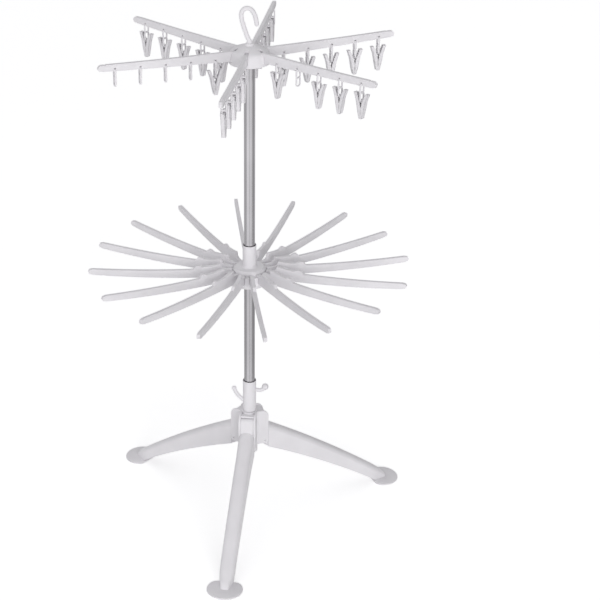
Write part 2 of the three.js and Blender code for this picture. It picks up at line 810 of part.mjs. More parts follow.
// Least gap between two stretches of the coil that are half a turn or more apart.
function leastGap(points, wire, apart) {
  let least = Infinity;
  for (let i = 0; i < points.length; i += 1) {
    for (let j = i + apart; j < points.length; j += 1) {
      least = Math.min(least, points[i].distanceTo(points[j]) - 2 * wire);
    }
  }
  return least;
}

function makePeg() {
  const points = springPoints();
  const spring = tube(points, springWire, springSides);
  console.log("least gap in a peg's spring, mm:", leastGap(points, springWire, springSteps * springApartShare).toFixed(2));
  return makeLevers().add(spring);
}

function addTripod() {
  const leg = makeLeg();
  legNames.forEach((name, i) => addPiece(name, leg, whitePlastic, legFirstTurnShare + i / legCount));
  addPiece("base_hub", makeBaseHub(), whitePlastic);
  addPiece("hook_collar", makeHookCollar(), whitePlastic, coatTurnShare);
}

function addPole() {
  addPiece("lower_pole", makeTubeLength(poleFoot, lowerPoleLength), chrome);
  addPiece("upper_pole", makeTubeLength(tierShoulder, upperPoleLength), chrome);
  addPiece("pole_joiner", makePoleJoiner(), greyPlastic);
}

function addTier() {
  addPiece("tier_hub", makeTierHub(), whitePlastic, tierFirstTurnShare);
  addPiece("tier_base_plate", makeTierPlate(), shadePlastic);
  const arm = makeTierArm();
  for (let i = 0; i < tierArms; i += 1) {
    addPiece(`tier_arm_${String(i + 1).padStart(2, "0")}`, arm, whitePlastic, tierFirstTurnShare + i / tierArms);
  }
}

function addTop() {
  addPiece("top_hub", makeTopHub(), whitePlastic);
  addPiece("top_cover", makeTopCover(), whitePlastic);
  addPiece("hanging_hook", makeHangingHook(), whitePlastic, hookTurnShare);
  const arm = makePegArm();
  const peg = makePeg();
  for (let i = 1; i <= pegArms; i += 1) {
    const turnShare = pegArmFirstTurnShare + (i - 1) / pegArms;
    addPiece(`peg_arm_${i}`, arm, whitePlastic, turnShare);
    for (let station = 1; station <= stationCount; station += 1) {
      if (!(missingPegs[i] ?? []).includes(station)) {
        const angle = 2 * Math.PI * turnShare;
        const reach = stationReach(station);
        const mesh = addPiece(`peg_${i}_${station}`, peg, clearPlastic, turnShare);
        mesh.position.set(reach * Math.cos(angle), reach * Math.sin(angle), pegPivotHeight(station));
      }
    }
  }
}

addTripod();
addPole();
addTier();
addTop();

const extent = new THREE.Box3().setFromObject(airer, true);
const middle = extent.getCenter(new THREE.Vector3());
airer.position.set(-middle.x, -middle.y, -extent.min.z);

export default airer;
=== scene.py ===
# Free-standing tower airer in a plain pale studio, seen from the photograph's side.
# Sizes are in millimetres about the pole's axis, and MM turns them into metres. Each piece is drawn
# with X running outwards along its own arm or leg, and is then turned to its place round the pole.
# Outlines and lines are points in X and Z, unless their comment says that they are from above.

import math

import bmesh
import bpy
from mathutils import Matrix, Vector


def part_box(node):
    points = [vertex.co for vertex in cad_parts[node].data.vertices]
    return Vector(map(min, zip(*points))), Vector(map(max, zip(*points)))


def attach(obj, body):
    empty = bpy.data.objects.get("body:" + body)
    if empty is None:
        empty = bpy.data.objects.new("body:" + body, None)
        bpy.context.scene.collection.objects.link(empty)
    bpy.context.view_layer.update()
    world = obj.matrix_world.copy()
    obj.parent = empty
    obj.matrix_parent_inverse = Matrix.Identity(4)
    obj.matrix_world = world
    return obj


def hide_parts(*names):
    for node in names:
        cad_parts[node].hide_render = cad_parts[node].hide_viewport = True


MM = 0.001
WELD = 1e-6

# Camera, fitted to the feet, the arm tips and the pole in the photograph
FOCAL_PIXELS = 1805.2
IMAGE_PIXELS = 600
POLE_PIXEL = 249.5
SENSOR_WIDTH = 36
CAMERA_PLACE = (585.6, -3643.7, 2438.2)
CAMERA_TURN = 9.13
CAMERA_PITCH = 26.99

# Smoothness: steps and sides of round forms, and angles in degrees. The end gap leaves a small flat
# at a tube's tip, and a rounded corner takes at most the corner share of a side.
ROUND_STEPS = 72
BOW_STEPS = 24
PATH_STEPS = 8
CORNER_STEPS = 3
EDGE_STEPS = 2
FINE_EDGE_STEPS = 3
TUBE_SIDES = 18
TUBE_END_STEPS = 4
TUBE_END_GAP = 0.3
BALL_SEGMENTS = (24, 16)
PARALLEL_LIMIT = 0.1
SHARP_ANGLE = 34
SOFT_ANGLE = 40
STRAIGHT_ANGLE = 160
CORNER_SHARE = 0.45

# Cutters run on past what they cut by OVERRUN. A form runs into the one beside it by its SEAT.
OVERRUN = 5

# Pole
POLE_RADIUS = 12.5
POLE_WALL = 1.2
POLE_EDGE = 0.3
POLE_PLAY = 0.3

# Base hub
HUB_COLUMN_RADIUS = 19.2
HUB_CORE_RADIUS = 20.4
HUB_CORE_EDGE = 0.8
HUB_DRAIN_RADIUS = 9
HUB_EDGE = 1.6
HUB_SEAT = 2
EAR_THICKNESS = 5.5
EAR_SPACING = 29.8
EAR_REACH = 41
EAR_ROOT = 8.6
EAR_TOP_RADIUS = 17
EAR_TOP_STEPS = 14
EAR_FOOT_RADIUS = 5
EAR_FOOT_STEPS = 6
EAR_DEPTH = 70
EAR_EDGE = 1.6
BRIDGE = ((18, 261.3), (31, 261.3), (31, 266), (18, 266))
BRIDGE_SEAT = 1
BRIDGE_EDGE = 0.8
DIMPLE_RADIUS = 2.7
DIMPLE_DEPTH = 2
DIMPLE_PLACE = (32, 188)

# Legs
LEG_TURNS = {"leg_right": 30, "leg_left": 150, "leg_front": 270}
LEG_PIVOT = (30, 250)
LEG_START = 33
LEG_SHOULDER = 41.2
LEG_TIP = 361
LEG_TIP_SPAN = (2.7, 4.4)
# Half the leg's width at each reach
LEG_HALF_WIDTHS = (
    (33, 4), (34, 8), (36, 11.5), (39, 13.6), (41.1, 14.4), (41.3, 17.6), (42.5, 18.6), (60, 18.2),
    (85, 17.3), (310, 17), (325, 16.6), (336, 15), (348, 12.3), (357, 10.2), (360, 8.4), (361, 6.6),
)
LEG_STATIONS = 72
LEG_LEAST_STEP = 1
LEG_ROUND = 13
LEG_ROUND_STEPS = 6
LEG_ROUND_LIMIT_SHARES = (0.8, 0.96)
LEG_ARCH_END = 62
LEG_ARCH_ROUND = 17
LEG_CROWN = 1.6
LEG_CROWN_STEPS = 4
LEG_LEAST_HEIGHT = 0.6
LEG_WALL = 3
LEG_ROOF = 4
LEG_SHOULDER_WALL = 2.5
LEG_RECESS = 0.4
LEG_ROOF_RISE = 0.2
LEG_POCKETS = (54, 311)
LEG_POCKET_STEP = 0.2
LEG_RIBS = (139, 226)
LEG_RIB_THICKNESS = 3
LEG_RIB_LIFT = 1
RIDGE = ((43.9, 226.3), (191.9, 144.2), (352, 22.5))
RIDGE_ROOT_BEND = 0.03
BELLY = ((19.5, 177), (203, 92.5), (329.9, 4))
TONGUE_WIDTH = 29.4
TONGUE_EDGE = 0.6
TONGUE = ((41.6, 215), (41.6, 182), (21, 182), (20, 215))
KNUCKLE_RADIUS = 10.2
KNUCKLE_STEPS = 16
PIN_RADIUS = 4
PIN_SEAT = 2.5
FOOT_RADIUS = 39
FOOT_MIDDLE = 353
FOOT_CHORD = 29
FOOT_CORNER = 3.5
FOOT_BREADTH = 1.06
FOOT_STEPS = 60
# The foot's rings from the floor up: inset and height
FOOT_RINGS = (
    (1.6, 0), (0.5, 0.5), (0, 1.6), (0, 2.7), (0.6, 3.8), (2, 4.4), (7, 5), (13, 5.6), (18, 5.9),
)

# Collar with coat hooks
COLLAR_BORE = 13.2
COLLAR_RADIUS = 15.6
COLLAR_SPAN = (269.8, 348.8)
COLLAR_EDGE = 0.5
MOUTH_RADIUS = 14.8
MOUTH_DEPTH = 7
COAT_TURN = 9
COAT_ROD = 4.8
COAT_TIP = 5.8
COAT_BALL = 8
LOW_COAT_HOOK = ((14.4, 295.1), (21.2, 301.2), (28, 309.1), (32.6, 317.2), (36, 326.1))
HIGH_COAT_HOOK = ((14.4, 322.5), (19.2, 321.2), (24.9, 320.6), (32.4, 324.2), (37, 329.8))

# Tier
TIER_FIRST_TURN = 14.4
TIER_ARMS = 16
TIER_PIVOT = (46, 635)
TIER_PIN_RADIUS = 2.4
TIER_CORE_RADIUS = 37.7
TIER_BODY_RADIUS = 50
TIER_BODY_SPAN = (619.3, 640.3)
TIER_DISC_RADIUS = 34.5
TIER_DISC_EDGE = 2.5
TIER_DISC_TOP = 645.5
TIER_DISC_RISE = 0.4
TIER_COLLAR_TOP = 699.5
TIER_COLLAR_FLARE = 3
TIER_TOOTH_TOP = 637.6
TIER_TOOTH_EDGE = 1.1
TIER_TOOTH_SEAT = 1
TIER_TOOTH_STEPS = (3, 4)
TIER_SLOT = 8.3
TIER_PLATE = ((13.2, 605.5), (41, 605.5), (46, 612.3), (46, 619), (13.2, 619))
TIER_PLATE_EDGE = 1
TIER_ARM_WIDTH = 7.5
TIER_ARM_EDGE = 1.6
TIER_HEEL = ((41, 621.4), (38, 624), (38, 635), (40, 640.3))
TIER_FIN = (
    (57.1, 641.7), (62.6, 644.5), (65.6, 654), (86.3, 650.2), (106.4, 648), (115.4, 651.6),
    (121.5, 651.2), (129.5, 643.2),
)
TIER_FIN_ROUND = 2.4
TIER_TOP_BOW = (231.3, 643)
TIER_NOSE = ((355.9, 654.5), (362.9, 653), (365.5, 648.5), (363.6, 643.5), (355.9, 640.8))
TIER_BELLY_BOW = (205.8, 621.4)

# Top hub, its cover and its peg arms
TOP_PIVOT = (35, 1154)
TOP_PIN_RADIUS = 2.4
ARM_PIN_SEAT = 2
COVER_RADIUS = 45
COVER_LINE = (
    (45, 1133), (44.9, 1141), (44.2, 1150), (42.2, 1157), (38.2, 1161.4), (30, 1165.2), (20, 1168.9),
    (10, 1171.6), (0, 1172.8),
)
COVER_STEPS = 4
COVER_TOP = 1173
COVER_WALL = 2.5
COVER_EDGE = 1.4
COVER_SLOT = 8.9
COVER_SLOT_LOW = 1139
COVER_SLOT_START = 26.5
CARRIER_PROFILE = (
    (13.2, 1126), (17, 1126), (17, 1135), (41, 1135), (41.5, 1141), (37, 1156), (29, 1160.5),
    (25.9, 1164.6), (17, 1165), (13.2, 1160),
)
CARRIER_SLOT = 8.8
CARRIER_SLOT_LOW = 1121
CARRIER_SLOT_START = 26.7
BOSS_RADIUS = 8.5
BOSS_TOP = 1176
BOSS_FLARE = 3
BOSS_SEAT = 3
PEG_ARMS = 6
PEG_ARM_FIRST_TURN = 29.25
PEG_ARM_WIDTH = 8
PEG_ARM_EDGE = 1.8
PEG_ARM_HEEL = ((27, 1140), (27, 1154), (29.4, 1159.6), (35, 1162))
PEG_ARM_TOP_BOW = (198.6, 1162)
PEG_ARM_NOSE = ((320.1, 1166), (333.2, 1165.3), (338, 1160), (335.9, 1153.5), (328, 1151.5))
PEG_ARM_NOSE_ROUND = 3
PEG_ARM_BELLY_BOW = (149.2, 1143)
PEG_ARM_BELLY_START = (35, 1140)

# Links and pegs, these drawn about the middle of their spring's coil
STATIONS = 5
STATION_FIRST = 78.3
STATION_PITCH = 55.675
MISSING_PEGS = {4: (2, 3, 4, 5), 6: (2,)}
EYE_RADIUS = 2.5
EYE_RISE = 5.2
LINK_WIRE = 1.5
LINK_SIDES = 10
LINK_STRETCH = 1.5
LINK_HALF_WIDTH = 5.9
LINK_CORNER = 4.6
LINK_CORNER_STEPS = 5
LINK_TOP_RISE = 3.6
LINK_BOTTOM_DROP = 33
PEG_DROP = 33
PEG_WIDTH = 9
PEG_SKIN = 1.5
PEG_SKIN_EDGE = 0.4
PEG_RAIL = 1.5
PEG_RAIL_EDGE = 0.3
PEG_OUTER = ((2.2, -39.6), (3.9, -38.6), (4.8, -36), (7.6, -24), (12, 0), (14.9, 8), (18, 17))
PEG_INNER = ((0.1, -39.6), (0.1, -31), (0.7, -25), (0.1, -17), (3, -3.5), (11, 17))
PEG_RIBS = (-34.5, -29, -22, -16, -9, -2, 4.5, 9.5, 13.8, 16.3)
PEG_RIB_THICKNESS = 1.2
PEG_RIB_INSET = 0.3
SPRING_RADIUS = 3.4
SPRING_WIRE = 0.62
SPRING_SIDES = 8
SPRING_TURNS = 3.5
SPRING_TURN_STEPS = 16
SPRING_LENGTH = 5.6
SPRING_LEG = (6.6, -12)

# Hook on top
HOOK_TURN = 9
HOOK_ROD = 5
HOOK_SIDES = 24
HOOK_FOOT_HEIGHT = 7
HOOK_FOOT_FLARE = 1.4
HOOK_FOOT_EDGE = 0.8
HOOK_PATH = (
    (0, 1180.9), (-3.6, 1187.1), (-11.6, 1210.3), (-16.9, 1230.3), (-16.9, 1242.5), (-12.4, 1250.3),
    (-4.7, 1253), (3.1, 1250), (8.4, 1243.5), (12.5, 1233.4), (15.6, 1217.7),
)

# Finishes: the two shades that the mottle of each runs between
WHITE_SHADES = ((0.762, 0.746, 0.770), (0.802, 0.786, 0.810))
GREY_SHADES = ((0.27, 0.27, 0.28), (0.32, 0.32, 0.33))
PEG_SHADES = ((0.74, 0.724, 0.748), (0.82, 0.802, 0.828))
CHROME_SHADES = ((0.575, 0.563, 0.581), (0.635, 0.622, 0.642))
STEEL_SHADES = ((0.80, 0.79, 0.81), (0.88, 0.87, 0.89))
MOTTLE_SPAN = (0.35, 0.65)
NOISE_SPAN = (0.3, 0.7)
GRAIN_STRENGTH = 0.12
GRAIN_DEPTH = 0.0003
BRUSH_STRETCH = (900, 900, 6)

# Studio, in metres
FLOOR_REACH = 30
FLOOR_SHADE = 0.92
FLOOR_GLOW = 0.42
KEY_PLACE = (4.2, -8, 2.4)
KEY_AIM = (0, 0, 0.65)
KEY_SIZE = 5
KEY_POWER = 355
SKY_HORIZON = (0.95, 0.95, 0.96)
SKY_ZENITH = (0.61, 0.61, 0.62)
# Shade of the sky from left to right: place between 0 and 1, and share of light
SKY_SIDES = ((0.08, 0.82), (0.4, 1), (0.64, 1), (0.9, 0.12))
CARD_DISTANCE = 0.6
CARD_STEPS = 24
CARD_COLOUR = (1, 1, 1.01)
# Rows of cards: lowest and highest edge, and share of light
CARD_ROWS = ((0, 0.36, 0.93), (0.36, 2, 1.1))
# Cards: first and last azimuth round the pole in degrees, and brightness
CARDS = (
    (105, 168, 0.54), (168, 205, 0.49), (205, 225, 0.58), (225, 268, 0.92), (268, 288, 0.7),
    (288, 310, 0.85), (310, 334, 0.78), (334, 350, 0.48), (350, 388, 0.37), (388, 406, 0.58),
    (406, 453, 0.45),
)

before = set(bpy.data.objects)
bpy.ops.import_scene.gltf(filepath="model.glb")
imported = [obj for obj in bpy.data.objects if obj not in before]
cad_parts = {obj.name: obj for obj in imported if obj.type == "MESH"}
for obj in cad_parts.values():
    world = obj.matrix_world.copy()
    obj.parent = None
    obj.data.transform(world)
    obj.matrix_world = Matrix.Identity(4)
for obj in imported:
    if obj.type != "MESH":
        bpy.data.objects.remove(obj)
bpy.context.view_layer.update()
pole_low, pole_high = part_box("lower_pole")
AXIS = Matrix.Translation(((pole_low.x + pole_high.x) / 2, (pole_low.y + pole_high.y) / 2, 0))


def turned_to(degrees):
    return AXIS @ Matrix.Rotation(math.radians(degrees), 4, "Z")


def height_span(node):
    """A node's lowest and highest point in millimetres."""
    low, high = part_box(node)
    return low.z / MM, high.z / MM


def add_object(name, data):
    holder = bpy.data.objects.new(name, data)
    bpy.context.scene.collection.objects.link(holder)
    return holder


# Camera

def make_camera():
    camera = bpy.data.cameras.new("camera")
    camera.sensor_width = SENSOR_WIDTH
    camera.lens = SENSOR_WIDTH * FOCAL_PIXELS / IMAGE_PIXELS
    camera.shift_x = (IMAGE_PIXELS / 2 - POLE_PIXEL) / IMAGE_PIXELS
    holder = add_object("camera", camera)
    spot = AXIS @ Vector([c * MM for c in CAMERA_PLACE])
    turn = Matrix.Rotation(math.radians(CAMERA_TURN), 4, "Z")
    tilt = Matrix.Rotation(math.radians(90 - CAMERA_PITCH), 4, "X")
    holder.matrix_world = Matrix.Translation(spot) @ turn @ tilt
    bpy.context.scene.camera = holder


# Materials

class Nodes:
    """The node tree of a material or a world, with short ways to add, set and join its nodes."""

    def __init__(self, owner):
        owner.use_nodes = True
        self.tree = owner.node_tree

    def set(self, node, **values):
        """Sets a node's sockets and its own settings by name, with _ for a space in a socket's name."""
        for key, value in values.items():
            socket = key.replace("_", " ")
            if socket in node.inputs:
                node.inputs[socket].default_value = value
            else:
                setattr(node, key, value)
        return node

    def add(self, kind, **values):
        return self.set(self.tree.nodes.new(kind), **values)

    def join(self, source, target):
        self.tree.links.new(source, target)

    def ramp(self, source, stops):
        """A colour by a source's value, from stops of a place between 0 and 1 and a colour."""
        ramp = self.add("ShaderNodeValToRGB")
        elements = ramp.color_ramp.elements
        for position, _ in stops[1:-1]:
            elements.new(position)
        for element, (position, colour) in zip(elements, stops):
            element.position = position
            element.color = (*colour, 1)
        self.join(source, ramp.inputs["Fac"])
        return ramp.outputs["Color"]

    def background_rays(self):
        """One for rays straight from the camera, and for those by way of gloss or glass."""
        path = self.add("ShaderNodeLightPath")
        total = path.outputs["Is Camera Ray"]
        for name in ("Is Glossy Ray", "Is Transmission Ray"):
            largest = self.add("ShaderNodeMath", operation="MAXIMUM")
            self.join(total, largest.inputs[0])
            self.join(path.outputs[name], largest.inputs[1])
            total = largest.outputs["Value"]
        return total

    def finish_background(self, lit, seen, output):
        """Sends out one shader as a background's light on the object, and another where it is seen."""
        choose = self.add("ShaderNodeMixShader")
        self.join(self.background_rays(), choose.inputs["Fac"])
        self.join(lit, choose.inputs[1])
        self.join(seen, choose.inputs[2])
        self.join(choose.outputs["Shader"], self.tree.nodes[output].inputs["Surface"])


class Finish(Nodes):
    """A new material, with short ways to colour, roughen and grain its shader."""

    def __init__(self, name, **values):
        self.material = bpy.data.materials.new(name)
        super().__init__(self.material)
        self.shader = self.set(self.tree.nodes["Principled BSDF"], **values)

    def noise(self, scale, detail, stretch=None):
        """Noise in the piece's own coordinates, which stretch multiplies."""
        coordinates = self.add("ShaderNodeTexCoord").outputs["Object"]
        if stretch:
            mapping = self.add("ShaderNodeMapping", Scale=stretch)
            self.join(coordinates, mapping.inputs["Vector"])
            coordinates = mapping.outputs["Vector"]
        noise = self.add("ShaderNodeTexNoise", Scale=scale, Detail=detail)
        self.join(coordinates, noise.inputs["Vector"])
        return noise.outputs["Fac"]

    def mottle(self, noise, shades):
        self.join(self.ramp(noise, list(zip(MOTTLE_SPAN, shades))), self.shader.inputs["Base Color"])

    def roughen(self, noise, low, high):
        least, most = NOISE_SPAN
        spread = self.add("ShaderNodeMapRange", From_Min=least, From_Max=most, To_Min=low, To_Max=high)
        self.join(noise, spread.inputs["Value"])
        self.join(spread.outputs["Result"], self.shader.inputs["Roughness"])

    def grain(self, noise):
        bump = self.add("ShaderNodeBump", Strength=GRAIN_STRENGTH, Distance=GRAIN_DEPTH)
        self.join(noise, bump.inputs["Height"])
        self.join(bump.outputs["Normal"], self.shader.inputs["Normal"])


def moulded_plastic(name, shades, low, high, grain, **values):
    """A plastic with a mottle, a roughness from low to high, and a fine grain."""
    finish = Finish(name, **values)
    finish.mottle(finish.noise(scale=14, detail=3), shades)
    finish.roughen(finish.noise(scale=60, detail=4), low, high)
    finish.grain(finish.noise(scale=grain, detail=2))
    return finish.material


def make_white_plastic():
    return moulded_plastic("white_plastic", WHITE_SHADES, low=0.37, high=0.49, grain=1400)


def make_grey_plastic():
    return moulded_plastic("grey_plastic", GREY_SHADES, low=0.5, high=0.62, grain=900)


def make_peg_plastic():
    return moulded_plastic("peg_plastic", PEG_SHADES, low=0.35, high=0.47, grain=600,
                           IOR=1.46, Specular_IOR_Level=0.4)


def make_chrome():
    finish = Finish("chrome_tube", Metallic=1.0)
    finish.mottle(finish.noise(scale=9, detail=2), CHROME_SHADES)
    finish.roughen(finish.noise(scale=1, detail=2, stretch=BRUSH_STRETCH), low=0.1, high=0.16)
    return finish.material


def make_spring_steel():
    finish = Finish("spring_steel", Metallic=1.0)
    finish.mottle(finish.noise(scale=400, detail=3), STEEL_SHADES)
    finish.roughen(finish.noise(scale=900, detail=4), low=0.4, high=0.5)
    return finish.material


# Outlines and paths, in millimetres

def arc(centre, radius, first, last, steps):
    turns = [math.radians(first + (last - first) * k / steps) for k in range(steps + 1)]
    return [(centre[0] + radius * math.cos(t), centre[1] + radius * math.sin(t)) for t in turns]


def rectangle(left, right, low, high):
    return [(left, low), (right, low), (right, high), (left, high)]


def bow_point(start, bow, end, along):
    start, bow, end = Vector(start), Vector(bow), Vector(end)
    return start * (1 - along) ** 2 + bow * (2 * along * (1 - along)) + end * along ** 2


def bowed(start, bow, end, steps=BOW_STEPS):
    """A line from start to end that leans towards a bow point."""
    return [tuple(bow_point(start, bow, end, k / steps)) for k in range(steps + 1)]


def bow_height(curve, reach):
    """Height of a bowed line at a reach. The curve is its start, bow and end."""
    (x0, z0), (x1, z1), (x2, z2) = curve
    a, b, c = x0 - 2 * x1 + x2, 2 * (x1 - x0), x0 - reach
    along = -c / b if abs(a) < WELD else (-b + math.sqrt(max(b * b - 4 * a * c, 0))) / (2 * a)
    along = min(max(along, 0), 1)
    return (1 - along) ** 2 * z0 + 2 * along * (1 - along) * z1 + along ** 2 * z2


def rounded(outline, radius):
    """A closed outline with its corners rounded, apart from nearly straight ones and those on the axis."""
    result = []
    for i, corner in enumerate(outline):
        middle = Vector(corner)
        back = Vector(outline[i - 1]) - middle
        ahead = Vector(outline[(i + 1) % len(outline)]) - middle
        if corner[0] == 0 or back.angle(ahead) > math.radians(STRAIGHT_ANGLE):
            result.append(corner)
            continue
        longest = CORNER_SHARE * min(back.length, ahead.length)
        reach = min(radius / math.tan(back.angle(ahead) / 2), longest)
        start, end = middle + back.normalized() * reach, middle + ahead.normalized() * reach
        result += bowed(start, middle, end, CORNER_STEPS)
    return result


def between_points(points, spot):
    """The value at a spot, on straight lines through pairs of a rising spot and its value."""
    for (x0, y0), (x1, y1) in zip(points, points[1:]):
        if x0 <= spot <= x1:
            return y0 + (y1 - y0) * (spot - x0) / (x1 - x0)
    return points[-1][1] if spot > points[-1][0] else points[0][1]


def smooth_path(line, steps=PATH_STEPS):
    """3-D points on a smooth cubic curve through the points of a line."""
    knots = [Vector((x, 0, z)) for x, z in (line[0], *line, line[-1])]
    path = []
    for a, b, c, d in zip(knots, knots[1:], knots[2:], knots[3:]):
        for k in range(steps):
            t = k / steps
            slope = (c - a) * t
            bend = (2 * a - 5 * b + 4 * c - d) * t ** 2
            twist = (3 * b - a - 3 * c + d) * t ** 3
            path.append((2 * b + slope + bend + twist) / 2)
    return [*path, knots[-1]]


# Forms: closed meshes in metres, drawn from sizes in millimetres

def solid(points, faces):
    form = bmesh.new()
    corners = [form.verts.new(Vector(point) * MM) for point in points]
    for face in faces:
        form.faces.new([corners[i] for i in face])
    bmesh.ops.remove_doubles(form, verts=form.verts, dist=WELD)
    bmesh.ops.recalc_face_normals(form, faces=form.faces)
    return form


def soften(form, edge, steps):
    """Rounds the sharp edges of a form."""
    sharp = [e for e in form.edges if e.is_manifold and e.calc_face_angle() > math.radians(SOFT_ANGLE)]
    bmesh.ops.bevel(form, geom=sharp, offset=edge * MM, segments=steps, profile=0.5, affect="EDGES",
                    clamp_overlap=True)
    return form


def lofted(rings, closed=False):
    """A form through rings of as many points each, joined back to the first ring or else capped."""
    count = len(rings[0])
    points = [point for ring in rings for point in ring]
    faces = []
    for i in range(len(rings) if closed else len(rings) - 1):
        near, far = i * count, (i + 1) % len(rings) * count
        for j in range(count):
            beside = (j + 1) % count
            faces.append((near + j, near + beside, far + beside, far + j))
    if not closed:
        faces.append(tuple(range(count)))
        faces.append(tuple(range(len(points) - count, len(points))))
    return solid(points, faces)


def lathe(profile):
    """A closed outline turned round the pole's axis."""
    rings = []
    for i in range(ROUND_STEPS):
        turn = 2 * math.pi * i / ROUND_STEPS
        rings.append([(r * math.cos(turn), r * math.sin(turn), z) for r, z in profile])
    return lofted(rings, closed=True)


def prism(outline, width, edge=0, steps=EDGE_STEPS):
    """An outline with thickness along Y and rounded edges."""
    form = lofted([[(x, side * width / 2, z) for x, z in outline] for side in (-1, 1)])
    return soften(form, edge, steps) if edge else form


def plate(outline, low, high, edge=0):
    """An outline from above with thickness along Z and rounded edges."""
    form = prism(outline, high - low, edge)
    bmesh.ops.transform(form, matrix=Matrix.Rotation(math.radians(90), 4, "X"), verts=form.verts)
    bmesh.ops.translate(form, vec=(0, 0, (low + high) / 2 * MM), verts=form.verts)
    return form


def path_frames(points, closed):
    """Each point of a path, the way ahead there, and a way across it that turns no more than it must."""
    last = len(points) - 1
    frames = []
    across = None
    for i, point in enumerate(points):
        before = points[i - 1] if closed or i > 0 else point
        after = points[(i + 1) % len(points)] if closed or i < last else point
        ahead = (after - before).normalized()
        if across is None:
            across = ahead.cross(Vector((0, 1, 0)))
            if across.length < PARALLEL_LIMIT:
                across = ahead.cross(Vector((1, 0, 0)))
        across = (across - ahead * across.dot(ahead)).normalized()
        frames.append((point, ahead, across))
    return frames


def rounded_end(point, ahead, across, radius, way):
    """Frames and radii of a half ball that ends a tube, from its rim outwards."""
    rings = []
    for k in range(1, TUBE_END_STEPS + 1):
        turn = math.pi / 2 * k / (TUBE_END_STEPS + TUBE_END_GAP)
        centre = point + ahead * way * radius * math.sin(turn)
        rings.append((centre, ahead, across, radius * math.cos(turn)))
    return rings


def tube(points, radius, sides=TUBE_SIDES, closed=False, round_ends=True):
    """A round tube along 3-D points."""
    frames = [(*step, radius) for step in path_frames([Vector(point) for point in points], closed)]
    if round_ends and not closed:
        start = rounded_end(*frames[0], -1)
        frames = [*start[::-1], *frames, *rounded_end(*frames[-1], 1)]
    turns = [2 * math.pi * j / sides for j in range(sides)]
    rings = []
    for point, ahead, across, size in frames:
        beside = ahead.cross(across)
        rings.append([point + (across * math.cos(t) + beside * math.sin(t)) * size for t in turns])
    return lofted(rings, closed)


def ball(radius, centre):
    form = bmesh.new()
    across, upwards = BALL_SEGMENTS
    bmesh.ops.create_uvsphere(form, u_segments=across, v_segments=upwards, radius=radius * MM,
                              matrix=Matrix.Translation(Vector(centre) * MM))
    return form


def cross_pin(radius, width, centre):
    """A round pin along Y, centred on a point in X and Z."""
    x, z = centre
    return tube([(x, -width / 2, z), (x, width / 2, z)], radius, round_ends=False)


def moved(form, turn=0, shift=(0, 0, 0)):
    """A copy of a form, shifted and then turned about the pole's axis."""
    copy = form.copy()
    matrix = Matrix.Rotation(math.radians(turn), 4, "Z") @ Matrix.Translation(Vector(shift) * MM)
    bmesh.ops.transform(copy, matrix=matrix, verts=copy.verts)
    return copy


def joined(name, layers):
    """One mesh from layers of forms, whose faces keep the number of their layer."""
    whole = bmesh.new()
    for number, forms in enumerate(layers):
        for form in forms:
            part = bpy.data.meshes.new("part")
            form.to_mesh(part)
            start = len(whole.faces)
            whole.from_mesh(part)
            whole.faces.ensure_lookup_table()
            for face in whole.faces[start:]:
                face.material_index = number
            bpy.data.meshes.remove(part)
    mesh = bpy.data.meshes.new(name)
    whole.to_mesh(mesh)
    whole.free()
    return mesh


def cut(form, cutters):
    """A form with others taken out of it."""
    body = add_object("body", joined("body", [[form]]))
    tool = add_object("tool", joined("tool", [cutters]))
    modifier = body.modifiers.new("cut", "BOOLEAN")
    modifier.object = tool
    modifier.operation = "DIFFERENCE"
    modifier.solver = "EXACT"
    modifier.use_self = True
    bpy.context.view_layer.update()
    result = bmesh.new()
    result.from_object(body, bpy.context.evaluated_depsgraph_get())
    for spent in (body, tool):
        mesh = spent.data
        bpy.data.objects.remove(spent)
        bpy.data.meshes.remove(mesh)
    return result


def make_mesh(name, *layers):
    """One shaded mesh from layers, each a material and the forms that are made of it."""
    mesh = joined(name, [forms for _, forms in layers])
    for material, _ in layers:
        mesh.materials.append(material)
    mesh.shade_smooth()
    mesh.set_sharp_from_angle(angle=math.radians(SHARP_ANGLE))
    return mesh


def place(name, mesh, body, node, turn=0, shift=(0, 0, 0)):
    """Sets a piece round the pole in its node's stead, on its body."""
    own = mesh.copy()
    own.name = name
    own.transform(turned_to(turn) @ Matrix.Translation(Vector(shift) * MM))
    piece = add_object(name, own)
    fair = piece.modifiers.new("fair shading", "WEIGHTED_NORMAL")
    fair.keep_sharp = True
    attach(piece, body)
    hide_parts(node)


# Pole

def make_poles(chrome):
    for node in ("lower_pole", "upper_pole"):
        tube_wall = rectangle(POLE_RADIUS - POLE_WALL, POLE_RADIUS, *height_span(node))
        mesh = make_mesh(node + "_tube", (chrome, [lathe(rounded(tube_wall, POLE_EDGE))]))
        place(node + "_tube", mesh, "base", node)


# Tripod

def ear_outline(bottom, top):
    foot = (EAR_REACH - EAR_FOOT_RADIUS, bottom + EAR_FOOT_RADIUS)
    crown = (EAR_REACH - EAR_TOP_RADIUS, top - EAR_TOP_RADIUS)
    outline = [(EAR_ROOT, bottom)]
    outline += arc(foot, EAR_FOOT_RADIUS, -90, 0, EAR_FOOT_STEPS)
    outline += arc(crown, EAR_TOP_RADIUS, 0, 90, EAR_TOP_STEPS)
    return outline + [(EAR_ROOT, top)]


def core_outline():
    """The hub's core from above: a circle with a flat behind each leg."""
    outline = []
    for i in range(ROUND_STEPS):
        turn = 360 * i / ROUND_STEPS
        off = min(abs((turn - leg + 180) % 360 - 180) for leg in LEG_TURNS.values())
        flat = HUB_COLUMN_RADIUS / math.cos(math.radians(off))
        radius = min(HUB_CORE_RADIUS, flat)
        outline.append((radius * math.cos(math.radians(turn)), radius * math.sin(math.radians(turn))))
    return outline


